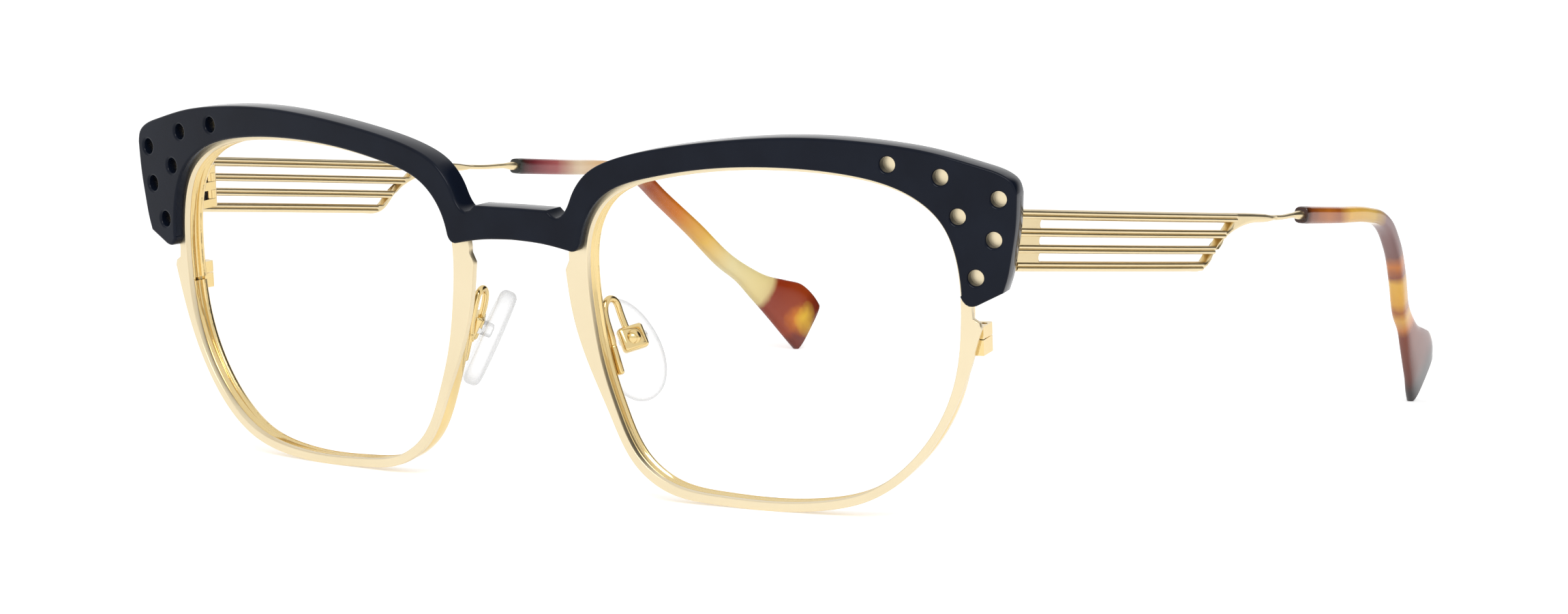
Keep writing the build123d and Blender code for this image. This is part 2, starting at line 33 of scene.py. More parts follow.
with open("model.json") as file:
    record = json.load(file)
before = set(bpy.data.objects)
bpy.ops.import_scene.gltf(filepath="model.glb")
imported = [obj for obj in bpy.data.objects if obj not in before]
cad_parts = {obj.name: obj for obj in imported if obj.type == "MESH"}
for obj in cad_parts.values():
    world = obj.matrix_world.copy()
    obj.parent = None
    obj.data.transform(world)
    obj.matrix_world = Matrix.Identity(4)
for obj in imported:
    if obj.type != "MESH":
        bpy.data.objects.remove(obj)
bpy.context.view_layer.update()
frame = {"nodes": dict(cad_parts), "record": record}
record = frame["record"]

MM = 0.001
FRONT_RADIUS = 267.0
PIVOT = (62.2, 15.8, -4.4)
PANTOSCOPIC = radians(8.9)

# ---- lens openings ----
NASAL_X = 10.5
LENS_WIDTH = 50.1
LENS_HEIGHT = 41.05
LENS_TOP = 4.3
TEMPORAL_X = NASAL_X + LENS_WIDTH
LENS_FOOT = LENS_TOP - LENS_HEIGHT
LENS_SHAPE = [
    (0.0, 0.664), (0.008, 0.542), (0.030, 0.389), (0.070, 0.242),
    (0.128, 0.108), (0.214, 0.035), (0.349, 0.007), (0.489, 0.0),
    (0.629, 0.011), (0.749, 0.048), (0.848, 0.128), (0.928, 0.245),
    (0.980, 0.389), (1.0, 0.566), (0.994, 0.737), (0.956, 0.859),
    (0.884, 0.932), (0.739, 0.984), (0.559, 1.0), (0.369, 0.989),
    (0.194, 0.952), (0.074, 0.895), (0.022, 0.817),
]
RIM_FACE_WIDTHS = [3.3, 2.9, 1.9, 1.15, 1.1, 1.2, 1.1, 1.1, 1.1, 1.1, 1.05, 0.95, 1.3]
PLATE_DEPTH = 1.4
PLATE_BACK = 2.3
EYEWIRE_FRONT = 2.32
EYEWIRE_BACK = 4.62
EYEWIRE_WIDTH = 0.95

# ---- brow bar ----
BAR_THICKNESS = 3.4
BAR_WALL = 1.2
BAR_REVEAL = 0.5
BRIDGE_TOP = -1.7
BRIDGE_DROP = -5.8
BRIDGE_WALL = 1.1
CORNER_REACH = 1.1
BAR_NOTCH = [(0.533, -6.05), (0.667, -6.95), (0.8, -5.9), (0.886, -4.1), (0.99, -2.4)]
BAR_CREST = [
    (0.03, -0.9), (0.09, 0.55), (0.19, 1.9), (0.29, 2.8), (0.429, 3.7), (0.589, 4.25),
    (0.709, 4.2), (0.828, 3.75), (0.948, 2.85), (1.068, 1.25), (1.12, 0.3),
]
BAR_CORNER = [(7.2, -0.7), (7.6, -2.1)]
BAR_SIDE = [(7.3, -6.3), (6.7, -9.8), (6.1, -12.5), (5.6, -13.9)]
BAR_TAIL = [(2.4, -15.5), (1.5, -15.6), (0.7, -15.0), (0.4, -14.4)]
PORT_RADIUS = 0.975
PORTS = [(52.5, 5.6), (59.0, 4.2), (66.0, 1.7), (61.0, -0.5), (65.3, -3.2), (63.0, -7.8)]
BAR_SCREWS = [(26.0, 5.12), (43.0, 6.35)]

# ---- temples ----
TEMPLE_HALF = 3.73
TEMPLE_NOSE = -2.6
TEMPLE_BOW = 420.0
TEMPLE_BOW_AT = 38.5
TEMPLE_OFFSET = 4.2
TEMPLE_PANEL = 40.6
TEMPLE_FIN = [
    (43.0, 0.82), (44.5, 2.3), (46.5, 3.77), (49.3, 5.0), (52.2, 5.78),
    (55.5, 6.23), (60.3, 6.42), (62.5, 6.75),
]
FIN_END = [(62.5, 7.15), (59.0, 7.39), (55.0, 7.46)]
SLOT_START = 2.85
SLOT_HALF = 0.48
SLOT_PITCH = 2.0
SLOT_ENDS = [43.0, 45.8, 48.6]
SLOT_SLANT = 0.6
TIP_PATH = [
    (72.0, 3.54, 2.55, 2.35, 2.2), (84.0, 3.58, 1.75, 2.25, 2.2),
    (94.5, 3.62, 0.95, 2.1, 2.3), (98.5, 3.25, 0.65, 2.05, 2.4),
    (101.3, 2.25, 0.4, 2.1, 2.4), (105.4, -0.45, -0.3, 2.2, 2.4),
    (112.0, -5.25, -2.35, 2.45, 2.4), (118.2, -10.2, -4.5, 2.8, 2.2),
]
PADDLE = [
    ((120.6, -13.3), (122.9, -10.9)), ((123.3, -15.7), (126.6, -12.2)),
    ((126.2, -18.3), (131.1, -12.9)), ((128.6, -20.5), (134.3, -13.5)),
    ((130.6, -22.4), (136.9, -15.3)), ((132.0, -23.6), (137.8, -16.5)),
]
PADDLE_AXIS = (0.748, -0.664)
PADDLE_SLOPE = 0.24

# ---- nose pads ----
PAD_AXIS_AT = np.array((11.9, 8.4, -18.9))
PAD_DOWN = np.array((0.462, -0.0995, -0.881))
PAD_OUT = np.array((0.722, -0.536, 0.439))
PAD_SIDE = np.cross(PAD_OUT, PAD_DOWN)
ARM_ROUTE = [(11.2, 5.45, -20.3), (9.8, 5.45, -13.6), (10.1, 8.0, -13.6), (11.55, 8.1, -18.0)]


# ---- where the upright frame lies in the row ----
fold = next(j for j in record["behaviour"]["joints"] if j["name"] == "left_temple_fold")
LEAN = atan2(-fold["axis"][1], fold["axis"][2])
ORIGIN = Vector(fold["pos_m"]) - Matrix.Rotation(LEAN, 3, "X") @ (Vector(PIVOT) * MM)


def to_row(points):
    """Millimetres in the upright frame to metres in the row frame."""
    p = np.asarray(points, float) * MM
    y = p[:, 1] * cos(LEAN) - p[:, 2] * sin(LEAN) + ORIGIN.y
    z = p[:, 1] * sin(LEAN) + p[:, 2] * cos(LEAN) + ORIGIN.z
    return np.column_stack([p[:, 0] + ORIGIN.x, y, z])


def on_temple(points):
    """(out, along, up) from the hinge along the temple, to the upright frame."""
    p = np.asarray(points, float)
    y = p[:, 1] * cos(PANTOSCOPIC) + p[:, 2] * sin(PANTOSCOPIC)
    z = -p[:, 1] * sin(PANTOSCOPIC) + p[:, 2] * cos(PANTOSCOPIC)
    return np.column_stack([p[:, 0] + PIVOT[0], y + PIVOT[1], z + PIVOT[2]])


def on_pad(points):
    """(down, side, out) of the pad to the upright frame."""
    p = np.asarray(points, float)
    return PAD_AXIS_AT + p[:, :1] * PAD_DOWN + p[:, 1:2] * PAD_SIDE + p[:, 2:] * PAD_OUT


def bend(points):
    """(x, depth, z) of the flat front wrapped on its upright cylinder."""
    p = np.asarray(points, float)
    turn = np.arcsin(p[:, 0] / FRONT_RADIUS)
    x = p[:, 0] - p[:, 1] * np.sin(turn)
    y = FRONT_RADIUS * (1 - np.cos(turn)) + p[:, 1] * np.cos(turn)
    return np.column_stack([x, y, p[:, 2]])


def bow(points):
    """(along, depth inward, up) of the flat temple wrapped on its bow."""
    p = np.asarray(points, float)
    face = TEMPLE_OFFSET + 0.7 - (p[:, 0] - TEMPLE_BOW_AT) ** 2 / (2 * TEMPLE_BOW)
    return on_temple(np.column_stack([face - p[:, 1], p[:, 0], p[:, 2]]))


# ---- curves ----
def spline(points, closed=False, step=0.45):
    """A cubic curve through the points, as points about step apart."""
    p = np.asarray(points, float)
    if closed:
        p = np.vstack([p[-3:], p, p[:4]])
    t = np.concatenate([[0], np.cumsum(np.linalg.norm(np.diff(p, axis=0), axis=1))])
    h = np.diff(t)
    n = len(p)
    system = np.eye(n)
    side = np.zeros_like(p)
    for i in range(1, n - 1):
        system[i, i - 1:i + 2] = h[i - 1], 2 * (h[i - 1] + h[i]), h[i]
        side[i] = 6 * ((p[i + 1] - p[i]) / h[i] - (p[i] - p[i - 1]) / h[i - 1])
    second = np.linalg.solve(system, side)
    first, last = (3, n - 4) if closed else (0, n - 1)
    out = []
    for i in range(first, last):
        count = max(1, int(round(h[i] / step)))
        for k in range(count):
            b = k / count
            a = 1 - b
            value = a * p[i] + b * p[i + 1]
            bulge = ((a ** 3 - a) * second[i] + (b ** 3 - b) * second[i + 1]) * h[i] ** 2 / 6
            out.append(value + bulge)
    if not closed:
        out.append(p[-1])
    return np.array(out)


def lines(points, step=0.45):
    """Straight runs divided into short steps, without the last point."""
    out = []
    for a, b in zip(points[:-1], points[1:]):
        a, b = np.asarray(a, float), np.asarray(b, float)
        count = max(1, int(round(np.linalg.norm(b - a) / step)))
        out += [a + (b - a) * k / count for k in range(count)]
    return np.array(out)


def tidy_loop(points, gap=0.06):
    """Drops points that nearly coincide, and turns the loop anticlockwise."""
    kept = [points[0]]
    for p in points[1:]:
        if np.linalg.norm(p - kept[-1]) > gap:
            kept.append(p)
    if np.linalg.norm(kept[0] - kept[-1]) < gap:
        kept.pop()
    loop = np.array(kept)
    nxt = np.roll(loop, -1, axis=0)
    area = np.sum(loop[:, 0] * nxt[:, 1] - nxt[:, 0] * loop[:, 1])
    return loop if area > 0 else loop[::-1]


def normals(loop, closed=True):
    """Unit vectors to the right of the way along: outward on an anticlockwise loop."""
    if closed:
        before, after = np.roll(loop, 1, axis=0), np.roll(loop, -1, axis=0)
    else:
        before = np.vstack([loop[:1], loop[:-1]])
        after = np.vstack([loop[1:], loop[-1:]])
    a = loop - before
    b = after - loop
    for v in (a, b):
        length = np.linalg.norm(v, axis=1)
        v[length > 1e-9] /= length[length > 1e-9][:, None]
    along = a + b
    along /= np.linalg.norm(along, axis=1)[:, None]
    return np.column_stack([along[:, 1], -along[:, 0]])


def shifted(loop, amount, closed=True):
    return loop + normals(loop, closed) * amount


def inside(points, loop):
    x, y = points[:, 0][:, None], points[:, 1][:, None]
    x1, y1 = loop[:, 0], loop[:, 1]
    x2, y2 = np.roll(x1, -1), np.roll(y1, -1)
    crosses = ((y1 > y) != (y2 > y)) & (x < (x2 - x1) * (y - y1) / (y2 - y1 + 1e-30) + x1)
    return np.sum(crosses, axis=1) % 2 == 1


# ---- meshes ----
def fill(loops, spacing):
    """Triangles over the area inside the first loop and outside the others."""
    rim = np.vstack(loops)
    edges = []
    start = 0
    for loop in loops:
        n = len(loop)
        edges += [(start + i, start + (i + 1) % n) for i in range(n)]
        start += n
    low, high = rim.min(axis=0), rim.max(axis=0)
    gx, gy = np.meshgrid(
        np.arange(low[0] + spacing / 2, high[0], spacing), np.arange(low[1] + spacing / 2, high[1], spacing)
    )
    gx[1::2] += spacing / 2
    grid = np.column_stack([gx.ravel(), gy.ravel()])
    keep = inside(grid, loops[0])
    for loop in loops[1:]:
        keep &= ~inside(grid, loop)
    grid = grid[keep]
    clear = np.array([np.min(np.hypot(*(rim - g).T)) > 0.45 * spacing for g in grid], bool)
    grid = grid[clear] if len(grid) else grid
    points = [Vector(p) for p in np.vstack([rim, grid])]
    verts, _, faces, origin, _, _ = delaunay_2d_cdt(points, edges, [], 0, 1e-7)
    back = [o[0] if o else -1 for o in origin]
    faces = np.array([[back[i] for i in f] for f in faces])
    faces = faces[(faces >= 0).all(axis=1)]
    middle = np.array([np.mean([points[i] for i in f], axis=0) for f in faces])
    keep = inside(middle, loops[0])
    for loop in loops[1:]:
        keep &= ~inside(middle, loop)
    return grid, faces[keep]


def slab(loops, front, back, round_front, round_back, spacing=1.2, steps=4, guard=0.08):
    """(x, depth, z) solid between two depths, with rounded edges; the first loop is outside."""
    verts, quads = [], []
    ring_starts = []
    profile = []
    if round_front:
        profile.append((-round_front - guard, front))
        for k in range(steps + 1):
            a = k / steps * pi / 2
            profile.append((-round_front * (1 - sin(a)), front + round_front * (1 - cos(a))))
    else:
        profile.append((0.0, front))
    if round_back:
        for k in range(steps + 1):
            a = k / steps * pi / 2
            profile.append((-round_back * (1 - cos(a)), back - round_back * (1 - sin(a))))
        profile.append((-round_back - guard, back))
    else:
        profile.append((0.0, back))
    caps = ([], [])
    for number, loop in enumerate(loops):
        out = normals(loop) * (1 if number == 0 else -1)
        n = len(loop)
        starts = []
        for amount, depth in profile:
            ring = loop + out * amount
            starts.append(len(verts))
            verts += [(p[0], depth, p[1]) for p in ring]
        for a, b in zip(starts[:-1], starts[1:]):
            for i in range(n):
                j = (i + 1) % n
                quad = (a + i, a + j, b + j, b + i)
                quads.append(quad if number == 0 else quad[::-1])
        ring_starts.append((starts[0], starts[-1], n))
        for cap, amount in zip(caps, (profile[0][0], profile[-1][0])):
            cap.append(loop + out * amount)
    for cap, which, depth, flip in ((caps[0], 0, front, False), (caps[1], 1, back, True)):
        index = []
        for starts in ring_starts:
            index += list(range(starts[which], starts[which] + starts[2]))
        grid, faces = fill(cap, spacing)
        base = len(verts)
        verts += [(g[0], depth, g[1]) for g in grid]
        index += list(range(base, base + len(grid)))
        for f in faces:
            face = tuple(index[i] for i in f)
            quads.append(face[::-1] if flip else face)
    return np.array(verts, float), quads


def tube(path, radii, sides=16, closed=False, squash=(1.0, 1.0), up=(0, 0, 1)):
    """A round bar along 3-D points, with flat ends."""
    path = np.asarray(path, float)
    radii = np.broadcast_to(np.asarray(radii, float), (len(path),))
    along = np.gradient(path, axis=0)
    along /= np.linalg.norm(along, axis=1)[:, None]
    ref = np.cross(along[0], up)
    ref /= np.linalg.norm(ref)
    verts, faces = [], []
    for k, (p, d, r) in enumerate(zip(path, along, radii)):
        ref = ref - d * np.dot(ref, d)
        ref /= np.linalg.norm(ref)
        side = np.cross(d, ref)
        for i in range(sides):
            a = 2 * pi * i / sides
            verts.append(p + r * (squash[0] * cos(a) * ref + squash[1] * sin(a) * side))
        if k:
            a, b = (k - 1) * sides, k * sides
            faces += [(a + i, a + (i + 1) % sides, b + (i + 1) % sides, b + i) for i in range(sides)]
    faces.append(tuple(reversed(range(sides))))
    faces.append(tuple(range(len(verts) - sides, len(verts))))
    return np.array(verts), faces


def rings_to_mesh(rings, cap=True):
    """Skins a list of equal rings of 3-D points."""
    n = len(rings[0])
    verts = np.vstack(rings)
    faces = []
    for k in range(len(rings) - 1):
        a, b = k * n, (k + 1) * n
        faces += [(a + i, a + (i + 1) % n, b + (i + 1) % n, b + i) for i in range(n)]
    if cap:
        faces.append(tuple(reversed(range(n))))
        faces.append(tuple(range(len(verts) - n, len(verts))))
    return verts, faces


def lathe(profile, sides=32):
    """Turns (radius, height) points about local Z; ends on the axis close it."""
    rings = []
    for r, z in profile:
        r = max(r, 1e-4)
        rings.append(np.array([(r * cos(2 * pi * i / sides), r * sin(2 * pi * i / sides), z) for i in range(sides)]))
    return rings_to_mesh(rings)


def rounded_box(size, radius, steps=3):
    """A box about the origin with rounded edges, from a cube that is pushed out."""
    mesh = bmesh.new()
    bmesh.ops.create_cube(mesh, size=1.0)
    for v in mesh.verts:
        v.co = Vector([c * s for c, s in zip(v.co, size)])
    bmesh.ops.bevel(
        mesh, geom=list(mesh.edges), offset=radius, segments=steps, profile=0.5, affect="EDGES"
    )
    mesh.verts.index_update()
    verts = np.array([v.co for v in mesh.verts])
    faces = [tuple(v.index for v in f.verts) for f in mesh.faces]
    mesh.free()
    return verts, faces


def merged(*parts):
    verts, faces = [], []
    for v, f in parts:
        start = sum(len(x) for x in verts)
        verts.append(np.asarray(v, float))
        faces += [tuple(i + start for i in face) for face in f]
    return np.vstack(verts), faces


def moved(part, place):
    verts, faces = part
    return place(verts), faces


def mesh_object(name, part):
    verts, faces = part
    data = bpy.data.meshes.new(name)
    data.from_pydata([tuple(v) for v in verts], [], faces)
    data.validate()
    obj = bpy.data.objects.new(name, data)
    bpy.context.scene.collection.objects.link(obj)
    bm = bmesh.new()
    bm.from_mesh(data)
    bmesh.ops.recalc_face_normals(bm, faces=bm.faces)
    bm.to_mesh(data)
    bm.free()
    return obj


def boolean(part, cutter, operation="DIFFERENCE"):
    """Boolean of two closed meshes, as vertices and faces."""
    a, b = mesh_object("part", part), mesh_object("cutter", cutter)
    modifier = a.modifiers.new("cut", "BOOLEAN")
    modifier.operation = operation
    modifier.solver = "EXACT"
    modifier.object = b
    result = a.evaluated_get(bpy.context.evaluated_depsgraph_get()).to_mesh()
    verts = np.array([v.co for v in result.vertices])
    faces = [tuple(p.vertices) for p in result.polygons]
    for obj in (a, b):
        data = obj.data
        bpy.data.objects.remove(obj)
        bpy.data.meshes.remove(data)
    return verts, faces


def finish_piece(obj, material, body, nodes, crease=35.0):
    data = obj.data
    bm = bmesh.new()
    bm.from_mesh(data)
    for face in bm.faces:
        face.smooth = True
    for edge in bm.edges:
        if len(edge.link_faces) == 2:
            edge.smooth = edge.calc_face_angle(0) < radians(crease)
    bm.to_mesh(data)
    bm.free()
    data.materials.clear()
    data.materials.append(material)
    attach(obj, body)
    if nodes:
        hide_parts(*nodes)
    return obj


def piece(name, part, material, body, nodes, slot, crease=35.0, uv=None):
    """Makes a finished piece from a part in the upright frame."""
    verts, faces = part
    data = bpy.data.meshes.new(name)
    data.from_pydata([tuple(v) for v in to_row(verts)], [], [tuple(f) for f in faces])
    if uv is not None:
        layer = data.uv_layers.new(name="along")
        for loop in data.loops:
            layer.data[loop.index].uv = uv[loop.vertex_index]
    obj = bpy.data.objects.new(name, data)
    bpy.context.scene.collection.objects.link(obj)
    bm = bmesh.new()
    bm.from_mesh(data)
    bmesh.ops.recalc_face_normals(bm, faces=bm.faces)
    bm.to_mesh(data)
    bm.free()
    return finish_piece(obj, material, body, nodes, crease)


def mirrored(part):
    verts, faces = part
    flipped = np.array(verts, float)
    flipped[:, 0] *= -1
    return flipped, [tuple(reversed(f)) for f in faces]


def pair(name, part, material, body, nodes, slot, **extra):
    """The piece on both sides. body is front, or temple or pad for the side's own."""
    for side, shape in (("left_", part), ("right_", mirrored(part))):
        rides = body if body == "front" else side + body
        piece(side + name, shape, material, rides, [side + n for n in nodes], slot, **extra)


# ---- outlines of the front, as (x, z) points ----
def lens_point(u, v):
    return (NASAL_X + u * LENS_WIDTH, LENS_FOOT + v * LENS_HEIGHT)


lens_corners = [lens_point(u, v) for u, v in LENS_SHAPE]
opening = tidy_loop(spline(lens_corners, closed=True))


def rim_edge():
    """Outer edge of the rim below the bar, from the nasal side round to the ear."""
    edge = []
    for i, width in enumerate(RIM_FACE_WIDTHS):
        before, here, after = (np.array(lens_corners[j]) for j in (i - 1, i, i + 1))
        along = (after - before) / np.linalg.norm(after - before)
        edge.append((here[0] + along[1] * width, here[1] - along[0] * width))
    edge.append((TEMPORAL_X + 2.5, LENS_TOP - 18.5))
    return spline(edge)


def joined(*runs):
    return np.vstack([np.asarray(run, float).reshape(-1, 2) for run in runs])


def both_halves(half):
    """Closes a path that starts and ends on the middle line with its mirror image."""
    other = half[::-1] * np.array([-1.0, 1.0])
    return tidy_loop(joined(half, other[1:-1]))


notch = [(t * NASAL_X, LENS_TOP + rise) for t, rise in BAR_NOTCH]
crest = [(NASAL_X + u * LENS_WIDTH, LENS_TOP + rise) for u, rise in BAR_CREST]
corner = [(TEMPORAL_X + x, LENS_TOP + z) for x, z in BAR_CORNER]
side_points = [(TEMPORAL_X + x, LENS_TOP + z) for x, z in BAR_SIDE]
tail = [(TEMPORAL_X + x, LENS_TOP + z) for x, z in BAR_TAIL]
bar_top = joined(
    lines([(0, BRIDGE_TOP), notch[0]]),
    spline(notch + crest + corner)[:-1],
    spline([corner[-1]] + side_points)[:-1],
    lines([side_points[-1], tail[0]]),
)
reveal = shifted(opening, BAR_REVEAL)
floor_level = np.where(reveal[:, 0] > 35, tail[-1][1], BRIDGE_DROP - 1.0)
above = reveal[:, 1] > floor_level
start = next(i for i in range(len(above)) if above[i] and not above[i - 1])
inner_edge = np.roll(reveal, -start, axis=0)
inner_edge = inner_edge[np.roll(above, -start)]
nasal_foot = (inner_edge[-1][0], BRIDGE_DROP - 1.0)
bridge_foot = [(0, BRIDGE_DROP), (0.48 * NASAL_X, BRIDGE_DROP - 0.3), (0.86 * NASAL_X, BRIDGE_DROP - 1.0)]
bar_bottom = joined(lines([nasal_foot, bridge_foot[-1]]), spline(bridge_foot)[::-1])


def eased(path, at, reach):
    """The path with its corner at a point rounded off."""
    near = np.flatnonzero(np.hypot(*(path - at).T) < reach)
    before, after = path[near[0] - 1], path[near[-1] + 1]
    curve = [(1 - t) ** 2 * before + 2 * t * (1 - t) * np.array(at) + t ** 2 * after for t in (0.2, 0.35, 0.5, 0.65, 0.8)]
    return joined(path[:near[0]], curve, path[near[-1] + 1:])


half_bar = eased(joined(bar_top, spline(tail), inner_edge, bar_bottom), nasal_foot, CORNER_REACH)
bar_loop = both_halves(half_bar)


def behind_bar(inset, fit):
    """The top of the plate or its pocket: the bar's outer edge moved in, from the middle to the side."""
    path = shifted(bar_top, inset, closed=False)
    keep = np.ones(len(path), bool)
    for i, p in enumerate(path):
        keep[i] = np.min(np.hypot(*(bar_top - p).T)) > inset - 0.02 and p[1] > LENS_TOP - 13.3
    path = path[keep]
    return joined([(0, BRIDGE_TOP - BRIDGE_WALL + fit)], path)


rim = rim_edge()
neck_x = TEMPORAL_X + 1.4
neck = [
    (neck_x, LENS_TOP - 13.6), (neck_x, LENS_TOP - 16.3), (neck_x + 0.1, LENS_TOP - 17.3),
    (TEMPORAL_X + 2.3, LENS_TOP - 17.8), (TEMPORAL_X + 2.5, LENS_TOP - 18.5),
]
nasal_neck = [
    tuple(rim[0]), (NASAL_X - 2.7, LENS_TOP - 12.4), (NASAL_X - 2.7, LENS_TOP - 11.4),
    (NASAL_X - 2.3, LENS_TOP - 9.3), (0.62 * NASAL_X, BRIDGE_DROP + BRIDGE_WALL - 0.2),
    (0, BRIDGE_DROP + BRIDGE_WALL),
]
plate_loop = both_halves(joined(
    behind_bar(BAR_WALL, 0), lines(neck), rim[::-1][:-1], lines(nasal_neck), nasal_neck[-1]
))
pocket_neck = [(neck_x + 0.05, LENS_TOP - 13.6), (neck_x + 0.05, LENS_FOOT / 2)]
pocket_nasal = [
    (NASAL_X - 2.75, LENS_FOOT / 2), (NASAL_X - 2.75, LENS_TOP - 11.4), (NASAL_X - 2.35, LENS_TOP - 9.25),
    (0.62 * NASAL_X, BRIDGE_DROP + BRIDGE_WALL - 0.25), (0, BRIDGE_DROP + BRIDGE_WALL - 0.05),
]
pocket_loop = both_halves(joined(
    behind_bar(BAR_WALL - 0.05, 0.05), lines(pocket_neck), lines([pocket_neck[-1], pocket_nasal[0]]),
    lines(pocket_nasal), pocket_nasal[-1]
))


def circle(x, z, radius, count=40):
    return np.array([(x + radius * cos(2 * pi * i / count), z + radius * sin(2 * pi * i / count)) for i in range(count)])


# ---- materials ----
def shader(name, color, metallic=0.0, roughness=0.4, **sockets):
    material = bpy.data.materials.new(name)
    material.use_nodes = True
    tree = material.node_tree
    main = tree.nodes["Principled BSDF"]
    main.inputs["Base Color"].default_value = (*color, 1.0)
    main.inputs["Metallic"].default_value = metallic
    main.inputs["Roughness"].default_value = roughness
    for socket, value in sockets.items():
        main.inputs[socket.replace("_", " ")].default_value = value
    return material, tree, main


def add(tree, kind, **values):
    node = tree.nodes.new(kind)
    for key, value in values.items():
        if hasattr(node, key):
            setattr(node, key, value)
        else:
            node.inputs[key.replace("_", " ")].default_value = value
    return node


def ramp(tree, source, stops, interpolation="LINEAR"):
    node = tree.nodes.new("ShaderNodeValToRGB")
    node.color_ramp.interpolation = interpolation
    elements = node.color_ramp.elements
    while len(elements) > 1:
        elements.remove(elements[-1])
    elements[0].position, elements[0].color = stops[0][0], (*stops[0][1], 1)
    for position, color in stops[1:]:
        elements.new(position).color = (*color, 1)
    tree.links.new(source, node.inputs["Fac"])
    return node


def noise(tree, scale, detail=2.0, stretch=(1, 1, 1), roughness=0.5):
    coords = tree.nodes.new("ShaderNodeTexCoord")
    mapping = add(tree, "ShaderNodeMapping")
    mapping.inputs["Scale"].default_value = stretch
    texture = add(tree, "ShaderNodeTexNoise", Scale=scale, Detail=detail, Roughness=roughness)
    tree.links.new(coords.outputs["Object"], mapping.inputs["Vector"])
    tree.links.new(mapping.outputs["Vector"], texture.inputs["Vector"])
    return texture


def bump(tree, main, texture, strength, distance):
    node = add(tree, "ShaderNodeBump", Strength=strength, Distance=distance)
    tree.links.new(texture.outputs["Fac"], node.inputs["Height"])
    tree.links.new(node.outputs["Normal"], main.inputs["Normal"])
    return node


def varied(tree, main, texture, socket, low, high):
    spread = add(tree, "ShaderNodeMapRange")
    spread.inputs["To Min"].default_value = low
    spread.inputs["To Max"].default_value = high
    tree.links.new(texture.outputs["Fac"], spread.inputs["Value"])
    tree.links.new(spread.outputs["Result"], main.inputs[socket])


def metal(name, color, deep, roughness, grain, grain_scale, stretch=(1, 1, 1)):
    """Plated metal: a soft change of tone, a fine grain and uneven polish."""
    material, tree, main = shader(name, color, metallic=1.0)
    tone = ramp(tree, noise(tree, 90.0, 3.0).outputs["Fac"], [(0.3, deep), (0.7, color)])
    tree.links.new(tone.outputs["Color"], main.inputs["Base Color"])
    fine = noise(tree, grain_scale, 3.0, stretch, 0.6)
    varied(tree, main, fine, "Roughness", roughness * 0.85, roughness * 1.15)
    bump(tree, main, fine, grain, 0.00002)
    return material


navy, tree, main = shader("navy_acetate", (0.005, 0.007, 0.015), roughness=0.12, IOR=1.49, Specular_IOR_Level=0.13)
navy_tones = [(0.35, (0.004, 0.006, 0.013)), (0.65, (0.006, 0.009, 0.018))]
tone = ramp(tree, noise(tree, 160.0, 4.0).outputs["Fac"], navy_tones)
tree.links.new(tone.outputs["Color"], main.inputs["Base Color"])
haze = noise(tree, 900.0, 3.0)
varied(tree, main, haze, "Roughness", 0.06, 0.12)
bump(tree, main, noise(tree, 220.0, 2.0), 0.06, 0.0001)

champagne = metal("champagne_plate", (0.79, 0.68, 0.47), (0.76, 0.65, 0.44), 0.34, 0.25, 9000.0)
polished = metal("polished_rim", (0.80, 0.62, 0.30), (0.74, 0.56, 0.26), 0.08, 0.03, 5000.0)
temple_gold = metal("satin_temple", (0.80, 0.66, 0.40), (0.75, 0.61, 0.36), 0.30, 0.2, 6000.0, (1, 0.15, 1))
steel = metal("polished_steel", (0.74, 0.74, 0.74), (0.66, 0.66, 0.66), 0.12, 0.03, 5000.0)


def clear(name, color, strength, roughness, edge, width):
    """Clear plastic: mostly straight through, with a thin reflection at its edges."""
    material = bpy.data.materials.new(name)
    material.use_nodes = True
    tree = material.node_tree
    main = tree.nodes["Principled BSDF"]
    main.inputs["Base Color"].default_value = (*edge, 1)
    main.inputs["Roughness"].default_value = roughness
    main.inputs["IOR"].default_value = 1.45
    through = add(tree, "ShaderNodeBsdfTransparent")
    through.inputs["Color"].default_value = (*color, 1)
    mix = add(tree, "ShaderNodeMixShader")
    facing = add(tree, "ShaderNodeLayerWeight", Blend=width)
    weak = add(tree, "ShaderNodeMath", operation="MULTIPLY")
    weak.inputs[1].default_value = strength
    tree.links.new(facing.outputs["Facing"], weak.inputs[0])
    tree.links.new(weak.outputs["Value"], mix.inputs["Fac"])
    tree.links.new(through.outputs["BSDF"], mix.inputs[1])
    tree.links.new(main.outputs["BSDF"], mix.inputs[2])
    tree.links.new(mix.outputs["Shader"], tree.nodes["Material Output"].inputs["Surface"])
    return material


lens_clear = clear("clear_lens", (0.995, 0.995, 0.995), 0.04, 0.02, (0.9, 0.9, 0.9), 0.3)
pad_clear = clear("clear_pad", (0.985, 0.985, 0.985), 0.7, 0.15, (0.74, 0.75, 0.77), 0.55)


